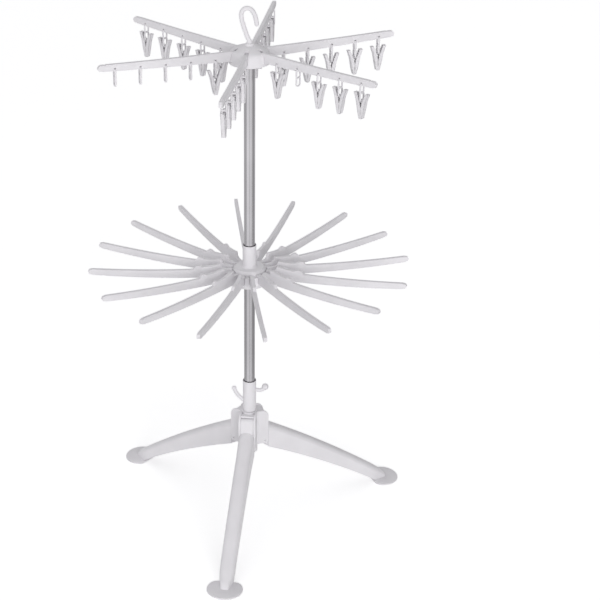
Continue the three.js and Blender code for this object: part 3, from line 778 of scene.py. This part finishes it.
def hub_ears(bottom, top):
    """The three pairs of ears that hold the legs, with a bridge over each leg's root."""
    ear = prism(ear_outline(bottom, top), EAR_THICKNESS, EAR_EDGE, FINE_EDGE_STEPS)
    dimple = cross_pin(DIMPLE_RADIUS, 2 * DIMPLE_DEPTH, DIMPLE_PLACE)
    forms = [prism(BRIDGE, EAR_SPACING + 2 * BRIDGE_SEAT, BRIDGE_EDGE)]
    for side in (-1, 1):
        dimpled = cut(ear, [moved(dimple, 0, (0, side * EAR_THICKNESS / 2, 0))])
        forms.append(moved(dimpled, 0, (0, side * (EAR_SPACING + EAR_THICKNESS) / 2, 0)))
    return [moved(form, turn) for form in forms for turn in LEG_TURNS.values()]


def make_base_hub(white):
    bottom, top = height_span("base_hub")
    ear_bottom = LEG_PIVOT[1] - EAR_DEPTH
    column = rectangle(HUB_DRAIN_RADIUS, HUB_COLUMN_RADIUS, bottom, ear_bottom + HUB_SEAT)
    bore = lathe(rectangle(0, POLE_RADIUS + POLE_PLAY, bottom, top + OVERRUN))
    core = cut(plate(core_outline(), ear_bottom, top, HUB_CORE_EDGE), [bore])
    forms = [lathe(rounded(column, HUB_EDGE)), core, *hub_ears(ear_bottom, top)]
    place("base_hub_casting", make_mesh("base_hub_casting", (white, forms)), "base", "base_hub")


def leg_top(reach):
    (root, root_height), (bow, bow_top), (end, end_height) = RIDGE
    if reach < root:
        slope = (bow_top - root_height) / (bow - root)
        back = root - reach
        return root_height - slope * back - RIDGE_ROOT_BEND * back ** 2
    if reach > end:
        share = (reach - end) / (LEG_TIP - end)
        return end_height - (end_height - LEG_TIP_SPAN[1]) * share ** 2
    return bow_height(RIDGE, reach)


def leg_bottom(reach):
    return LEG_TIP_SPAN[0] if reach > BELLY[2][0] else bow_height(BELLY, reach)


def leg_section(reach):
    """A leg's cut across at a reach: side, rounded shoulder, crown, shoulder, side, then the hollow."""
    half = between_points(LEG_HALF_WIDTHS, reach)
    bottom = leg_bottom(reach)
    top = max(leg_top(reach), bottom + LEG_LEAST_HEIGHT)
    arch = max(0, (LEG_ARCH_END - reach) / (LEG_ARCH_END - LEG_SHOULDER))
    height_share, width_share = LEG_ROUND_LIMIT_SHARES
    corner = min(LEG_ROUND + (LEG_ARCH_ROUND - LEG_ROUND) * arch ** 2, (top - bottom) * height_share,
                 half * width_share)
    flat = half - corner
    section = [(-half, bottom), *arc((-flat, top - corner), corner, 180, 90, LEG_ROUND_STEPS)]
    for k in range(1, LEG_CROWN_STEPS):
        share = k / LEG_CROWN_STEPS
        crown = LEG_CROWN * math.sin(math.pi * share) * min(1, flat / half)
        section.append((-flat * (1 - 2 * share), top + crown))
    section += [*arc((flat, top - corner), corner, 90, 0, LEG_ROUND_STEPS), (half, bottom)]
    inner = half - min(LEG_WALL, half / 2)
    roof = bottom + LEG_RECESS
    if LEG_POCKETS[0] < reach < LEG_POCKETS[1]:
        drop = corner - math.sqrt(corner ** 2 - (corner - LEG_WALL) ** 2)
        roof = max(roof, top - max(LEG_ROOF, drop + LEG_SHOULDER_WALL))
    section += [(inner, bottom), (inner, roof), (0, roof + LEG_ROOF_RISE)]
    section += [(-inner, roof), (-inner, bottom)]
    return [(reach, y, z) for y, z in section]


def leg_reaches():
    """Reaches of a leg's sections: all that its widths and pockets need, and even steps between them."""
    start, end = LEG_POCKETS
    needed = [reach for reach, _ in LEG_HALF_WIDTHS]
    needed += [start, start + LEG_POCKET_STEP, end - LEG_POCKET_STEP, end]
    evenly = [LEG_START + (LEG_TIP - LEG_START) * k / LEG_STATIONS for k in range(LEG_STATIONS + 1)]
    spare = [reach for reach in evenly if min(abs(reach - other) for other in needed) > LEG_LEAST_STEP]
    return sorted(needed + spare)


def foot_ring(inset, height):
    """A foot's edge, moved in by an inset: round, with a straight inner side and soft corners."""
    radius, chord = FOOT_RADIUS - inset, inset - FOOT_CHORD
    ring = []
    for k in range(FOOT_STEPS):
        turn = 2 * math.pi * k / FOOT_STEPS
        over = (radius * math.cos(turn) - chord) / FOOT_CORNER
        along = chord + FOOT_CORNER * math.log1p(math.exp(over))
        ring.append((FOOT_MIDDLE + min(along, radius), FOOT_BREADTH * radius * math.sin(turn), height))
    return ring


def leg_rib(reach):
    outline = rectangle(reach - LEG_RIB_THICKNESS / 2, reach + LEG_RIB_THICKNESS / 2,
                        leg_bottom(reach) + LEG_RIB_LIFT, leg_top(reach) - LEG_ROOF)
    return prism(outline, 2 * (between_points(LEG_HALF_WIDTHS, reach) - LEG_WALL))


def make_legs(white):
    shell = lofted([leg_section(reach) for reach in leg_reaches()])
    foot = lofted([foot_ring(inset, height) for inset, height in FOOT_RINGS])
    knuckle = arc(LEG_PIVOT, KNUCKLE_RADIUS, 180, 0, KNUCKLE_STEPS)
    tongue = prism([*TONGUE, *knuckle], TONGUE_WIDTH, TONGUE_EDGE)
    pin = cross_pin(PIN_RADIUS, EAR_SPACING + 2 * PIN_SEAT, LEG_PIVOT)
    forms = [shell, foot, tongue, pin, *[leg_rib(reach) for reach in LEG_RIBS]]
    mesh = make_mesh("leg_moulding", (white, forms))
    for node, turn in LEG_TURNS.items():
        place(node + "_moulding", mesh, node, node, turn)


# Collar

def mouth(top):
    """The upper end of a sleeve round the pole, with a wider mouth that shows as a dark ring."""
    ledge = top - MOUTH_DEPTH
    return [(COLLAR_RADIUS, top), (MOUTH_RADIUS, top), (MOUTH_RADIUS, ledge), (COLLAR_BORE, ledge)]


def coat_hook(line, tip_radius):
    path = smooth_path(line)
    return [tube(path, COAT_ROD), ball(tip_radius, path[-1])]


def make_collar(white):
    bottom, top = COLLAR_SPAN
    sleeve = lathe(rounded([(COLLAR_BORE, bottom), (COLLAR_RADIUS, bottom), *mouth(top)], COLLAR_EDGE))
    low_hook = [moved(form, 180) for form in coat_hook(LOW_COAT_HOOK, COAT_TIP)]
    high_hook = coat_hook(HIGH_COAT_HOOK, COAT_BALL)
    mesh = make_mesh("hook_collar_moulding", (white, [sleeve, *low_hook, *high_hook]))
    place("hook_collar_moulding", mesh, "hook_collar", "hook_collar", COAT_TURN)


# Tier

def tier_tooth():
    """One of the hub's teeth from above, between two arm slots."""
    pitch = 360 / TIER_ARMS
    inner, outer = TIER_CORE_RADIUS - TIER_TOOTH_SEAT, TIER_BODY_RADIUS
    near, far = (math.degrees(math.asin(TIER_SLOT / 2 / radius)) for radius in (inner, outer))
    near_steps, far_steps = TIER_TOOTH_STEPS
    inner_side = arc((0, 0), inner, pitch - near, near, near_steps)
    return inner_side + arc((0, 0), outer, far, pitch - far, far_steps)


def make_tier_hub(white):
    bottom, top = TIER_BODY_SPAN
    body = lathe(rounded([
        (COLLAR_BORE, bottom), (TIER_CORE_RADIUS, bottom), (TIER_CORE_RADIUS, top),
        (TIER_DISC_RADIUS, TIER_DISC_TOP - TIER_DISC_EDGE),
        (TIER_DISC_RADIUS - TIER_DISC_EDGE, TIER_DISC_TOP),
        (COLLAR_RADIUS + TIER_COLLAR_FLARE, TIER_DISC_TOP + TIER_DISC_RISE),
        (COLLAR_RADIUS, TIER_DISC_TOP + TIER_COLLAR_FLARE), *mouth(TIER_COLLAR_TOP),
    ], COLLAR_EDGE))
    tooth = plate(tier_tooth(), bottom, TIER_TOOTH_TOP, TIER_TOOTH_EDGE)
    teeth = [moved(tooth, 360 * i / TIER_ARMS) for i in range(TIER_ARMS)]
    hub = make_mesh("tier_hub_moulding", (white, [body, *teeth]))
    place("tier_hub_moulding", hub, "tier_hub", "tier_hub", TIER_FIRST_TURN)
    ring = make_mesh("tier_base_ring", (white, [lathe(rounded(TIER_PLATE, TIER_PLATE_EDGE))]))
    place("tier_base_ring", ring, "tier_hub", "tier_base_plate")


def make_tier_arms(white):
    outline = [*TIER_HEEL, *rounded(TIER_FIN, TIER_FIN_ROUND)[:-1]]
    outline += bowed(TIER_FIN[-1], TIER_TOP_BOW, TIER_NOSE[0])
    outline += TIER_NOSE[1:]
    outline += bowed(TIER_NOSE[-1], TIER_BELLY_BOW, TIER_HEEL[0])[1:-1]
    blade = prism(outline, TIER_ARM_WIDTH, TIER_ARM_EDGE, FINE_EDGE_STEPS)
    pin = cross_pin(TIER_PIN_RADIUS, TIER_ARM_WIDTH + 2 * ARM_PIN_SEAT, TIER_PIVOT)
    mesh = make_mesh("tier_arm_blade", (white, [blade, pin]))
    for i in range(TIER_ARMS):
        node = f"tier_arm_{i + 1:02d}"
        place(node + "_blade", mesh, node, node, TIER_FIRST_TURN + 360 * i / TIER_ARMS)


# Top

def cover_profile(inset):
    """The cover's outside from its lower rim to its middle, moved in by an inset."""
    rim = COVER_LINE[0][1]
    line = smooth_path(COVER_LINE, COVER_STEPS)
    profile = [(max(point.x - inset, 0), max(point.z - inset, rim)) for point in line]
    while profile[-2][0] == 0:
        profile.pop()
    return profile


def peg_arm_turns():
    return [PEG_ARM_FIRST_TURN + 360 * i / PEG_ARMS for i in range(PEG_ARMS)]


def slotted(form, start, width, low):
    """A form with a slot cut for each peg arm, open outwards and upwards."""
    outline = rectangle(start, COVER_RADIUS + OVERRUN, -width / 2, width / 2)
    slot = plate(outline, low, COVER_TOP + OVERRUN)
    return cut(form, [moved(slot, turn) for turn in peg_arm_turns()])


def make_top_cover(white):
    shell = lathe(cover_profile(0) + cover_profile(COVER_WALL)[::-1])
    shell = slotted(shell, COVER_SLOT_START, COVER_SLOT, COVER_SLOT_LOW)
    boss_foot = COVER_TOP - BOSS_SEAT
    boss = lathe(rounded([
        (0, boss_foot), (BOSS_RADIUS + BOSS_FLARE, boss_foot), (BOSS_RADIUS, BOSS_TOP), (0, BOSS_TOP),
    ], COVER_EDGE))
    place("top_cover_dome", make_mesh("top_cover_dome", (white, [shell, boss])), "top_hub", "top_cover")
    carrier = lathe(rounded(CARRIER_PROFILE, COVER_EDGE))
    carrier = slotted(carrier, CARRIER_SLOT_START, CARRIER_SLOT, CARRIER_SLOT_LOW)
    place("top_hub_carrier", make_mesh("top_hub_carrier", (white, [carrier])), "top_hub", "top_hub")


def make_hanging_hook(white):
    rod = tube(smooth_path(HOOK_PATH), HOOK_ROD, HOOK_SIDES)
    foot_top = BOSS_TOP + HOOK_FOOT_HEIGHT
    foot = lathe(rounded([
        (0, BOSS_TOP), (HOOK_ROD + HOOK_FOOT_FLARE, BOSS_TOP), (HOOK_ROD, foot_top), (0, foot_top),
    ], HOOK_FOOT_EDGE))
    mesh = make_mesh("hanging_hook_rod", (white, [rod, foot]))
    place("hanging_hook_rod", mesh, "hanging_hook", "hanging_hook", HOOK_TURN)


# Peg arms

def peg_arm_belly(reach):
    return bow_height((PEG_ARM_BELLY_START, PEG_ARM_BELLY_BOW, PEG_ARM_NOSE[-1]), reach)


def station_reach(station):
    return STATION_FIRST + (station - 1) * STATION_PITCH


def link_loop(reach, low, high):
    """One ring of a link, in the plane across the arm."""
    side = LINK_HALF_WIDTH - LINK_CORNER
    bottom, top = low + LINK_CORNER, high - LINK_CORNER
    path = []
    for quarter, corner in enumerate(((side, top), (-side, top), (-side, bottom), (side, bottom))):
        path += arc(corner, LINK_CORNER, 90 * quarter, 90 * quarter + 90, LINK_CORNER_STEPS)
    loop = tube([(0, y, z) for y, z in path], LINK_WIRE, LINK_SIDES, closed=True)
    bmesh.ops.scale(loop, vec=(LINK_STRETCH, 1, 1), verts=loop.verts)
    return moved(loop, 0, (reach, 0, 0))


def make_link(reach):
    top = peg_arm_belly(reach) + LINK_TOP_RISE
    bottom = peg_arm_belly(reach) - LINK_BOTTOM_DROP
    waist = (top + bottom) / 2
    return [link_loop(reach, waist - LINK_WIRE / 2, top), link_loop(reach, bottom, waist + LINK_WIRE / 2)]


def make_peg_arm_mesh(white):
    outline = list(PEG_ARM_HEEL)
    outline += bowed(PEG_ARM_HEEL[-1], PEG_ARM_TOP_BOW, PEG_ARM_NOSE[0])[1:]
    outline += rounded(PEG_ARM_NOSE, PEG_ARM_NOSE_ROUND)[1:-1]
    outline += bowed(PEG_ARM_NOSE[-1], PEG_ARM_BELLY_BOW, PEG_ARM_BELLY_START)
    blade = prism(outline, PEG_ARM_WIDTH, PEG_ARM_EDGE, FINE_EDGE_STEPS)
    width = PEG_ARM_WIDTH + 2 * ARM_PIN_SEAT
    eyes, links = [], []
    for station in range(1, STATIONS + 1):
        reach = station_reach(station)
        eyes.append(cross_pin(EYE_RADIUS, width, (reach, peg_arm_belly(reach) + EYE_RISE)))
        links += make_link(reach)
    pin = cross_pin(TOP_PIN_RADIUS, width, TOP_PIVOT)
    return make_mesh("peg_arm_blade", (white, [cut(blade, eyes), pin, *links]))


def lever_forms(side):
    """One lever of a peg: an outer skin, two rails inside it and ribs between them."""
    skin = [*PEG_OUTER, *[(x - PEG_SKIN, z) for x, z in reversed(PEG_OUTER)]]
    forms = [prism([(side * x, z) for x, z in skin], PEG_WIDTH, PEG_SKIN_EDGE)]
    rail = prism([(side * x, z) for x, z in (*PEG_OUTER, *reversed(PEG_INNER))], PEG_RAIL, PEG_RAIL_EDGE)
    forms += [moved(rail, 0, (0, end * (PEG_WIDTH - PEG_RAIL) / 2, 0)) for end in (-1, 1)]
    inner, outer = ([(z, x) for x, z in line] for line in (PEG_INNER, PEG_OUTER))
    for height in PEG_RIBS:
        rib = rectangle(side * between_points(inner, height), side * between_points(outer, height),
                        height - PEG_RIB_THICKNESS / 2, height + PEG_RIB_THICKNESS / 2)
        forms.append(prism(rib, PEG_WIDTH - 2 * PEG_RIB_INSET))
    return forms


def spring_form():
    count = int(SPRING_TURNS * SPRING_TURN_STEPS)
    leg_reach, leg_height = SPRING_LEG
    points = [(leg_reach, -SPRING_LENGTH / 2, leg_height)]
    for i in range(count + 1):
        turn = 2 * math.pi * i / SPRING_TURN_STEPS
        across = (i / count - 0.5) * SPRING_LENGTH
        points.append((SPRING_RADIUS * math.cos(turn), across, SPRING_RADIUS * math.sin(turn)))
    points.append((-leg_reach, SPRING_LENGTH / 2, leg_height))
    return tube(points, SPRING_WIRE, SPRING_SIDES)


def make_peg_arms(white, plastic, steel):
    arm_mesh = make_peg_arm_mesh(white)
    levers = [*lever_forms(-1), *lever_forms(1)]
    peg_mesh = make_mesh("peg_moulding", (plastic, levers), (steel, [spring_form()]))
    for number, turn in enumerate(peg_arm_turns(), 1):
        arm_node = f"peg_arm_{number}"
        place(arm_node + "_blade", arm_mesh, arm_node, arm_node, turn)
        for station in range(1, STATIONS + 1):
            if station in MISSING_PEGS.get(number, ()):
                continue
            node = f"peg_{number}_{station}"
            reach = station_reach(station)
            shift = (reach, 0, peg_arm_belly(reach) - PEG_DROP)
            place(node + "_clip", peg_mesh, node, node, turn, shift)


# Frame

def finish_solids(white, chrome, grey, plastic):
    """Gives each solid of the frame the finish of its piece."""
    for name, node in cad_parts.items():
        finish = white
        if name.endswith("_pole"):
            finish = chrome
        elif name == "pole_joiner":
            finish = grey
        elif name.startswith("peg_") and not name.startswith("peg_arm"):
            finish = plastic
        node.data.materials.clear()
        node.data.materials.append(finish)


# Studio

def card(name, first, last, low, high, level):
    """A curved, glowing studio card that only polished surfaces show."""
    rim = arc((0, 0), CARD_DISTANCE, first, last, CARD_STEPS)
    points = [(x, y, z) for z in (low, high) for x, y in rim]
    above = CARD_STEPS + 1
    faces = [(k, k + 1, above + k + 1, above + k) for k in range(CARD_STEPS)]
    mesh = bpy.data.meshes.new(name)
    mesh.from_pydata(points, [], faces)
    mesh.transform(AXIS)
    glow = Finish(name, Base_Color=(0, 0, 0, 1), Emission_Color=(*CARD_COLOUR, 1), Emission_Strength=level,
                  Roughness=0.9, Specular_IOR_Level=0)
    mesh.materials.append(glow.material)
    holder = add_object(name, mesh)
    holder.visible_camera = False
    holder.visible_diffuse = False
    holder.visible_shadow = False
    holder.visible_transmission = False


def make_cards():
    for number, (first, last, level) in enumerate(CARDS, 1):
        for row, (low, high, share) in enumerate(CARD_ROWS, 1):
            card(f"studio_card_{number}_{row}", first, last, low, high, level * share)


def make_floor():
    corners = rectangle(-FLOOR_REACH, FLOOR_REACH, -FLOOR_REACH, FLOOR_REACH)
    mesh = bpy.data.meshes.new("floor")
    mesh.from_pydata([(x, y, 0) for x, y in corners], [], [(0, 1, 2, 3)])
    finish = Finish("floor", Base_Color=(FLOOR_SHADE, FLOOR_SHADE, FLOOR_SHADE, 1), Roughness=0.9)
    glow = finish.add("ShaderNodeEmission", Strength=FLOOR_GLOW)
    both = finish.add("ShaderNodeAddShader")
    plain = finish.shader.outputs["BSDF"]
    finish.join(plain, both.inputs[0])
    finish.join(glow.outputs["Emission"], both.inputs[1])
    finish.finish_background(plain, both.outputs["Shader"], "Material Output")
    mesh.materials.append(finish.material)
    add_object("floor", mesh)


def make_world():
    """A sky that darkens upwards and to its sides, and is plain white where it is seen."""
    world = bpy.data.worlds.new("studio")
    bpy.context.scene.world = world
    nodes = Nodes(world)
    split = nodes.add("ShaderNodeSeparateXYZ")
    nodes.join(nodes.add("ShaderNodeTexCoord").outputs["Generated"], split.inputs["Vector"])
    upwards = nodes.ramp(split.outputs["Z"], ((0, SKY_HORIZON), (1, SKY_ZENITH)))
    across = nodes.add("ShaderNodeMapRange", From_Min=-1)
    nodes.join(split.outputs["X"], across.inputs["Value"])
    sides = nodes.ramp(across.outputs["Result"], [(spot, (share,) * 3) for spot, share in SKY_SIDES])
    shade = nodes.add("ShaderNodeVectorMath", operation="MULTIPLY")
    nodes.join(upwards, shade.inputs[0])
    nodes.join(sides, shade.inputs[1])
    sky = nodes.tree.nodes["Background"]
    nodes.join(shade.outputs["Vector"], sky.inputs["Color"])
    white = nodes.add("ShaderNodeBackground", Color=(1, 1, 1, 1))
    nodes.finish_background(sky.outputs["Background"], white.outputs["Background"], "World Output")


def make_key_light():
    """A large soft lamp at the front right, above the object."""
    light = bpy.data.lights.new("key", "AREA")
    light.shape = "SQUARE"
    light.size = KEY_SIZE
    light.energy = KEY_POWER
    holder = add_object("key", light)
    ray = Vector(KEY_AIM) - Vector(KEY_PLACE)
    turn = ray.to_track_quat("-Z", "Y").to_matrix().to_4x4()
    holder.matrix_world = Matrix.Translation(KEY_PLACE) @ turn
    holder.visible_glossy = False


def dress():
    white, chrome, grey = make_white_plastic(), make_chrome(), make_grey_plastic()
    plastic, steel = make_peg_plastic(), make_spring_steel()
    finish_solids(white, chrome, grey, plastic)
    make_poles(chrome)
    make_base_hub(white)
    make_legs(white)
    make_collar(white)
    make_tier_hub(white)
    make_tier_arms(white)
    make_top_cover(white)
    make_hanging_hook(white)
    make_peg_arms(white, plastic, steel)


make_camera()
dress()
make_floor()
make_world()
make_key_light()
make_cards()
bpy.context.scene.view_settings.view_transform = "Standard"
bpy.context.view_layer.update()
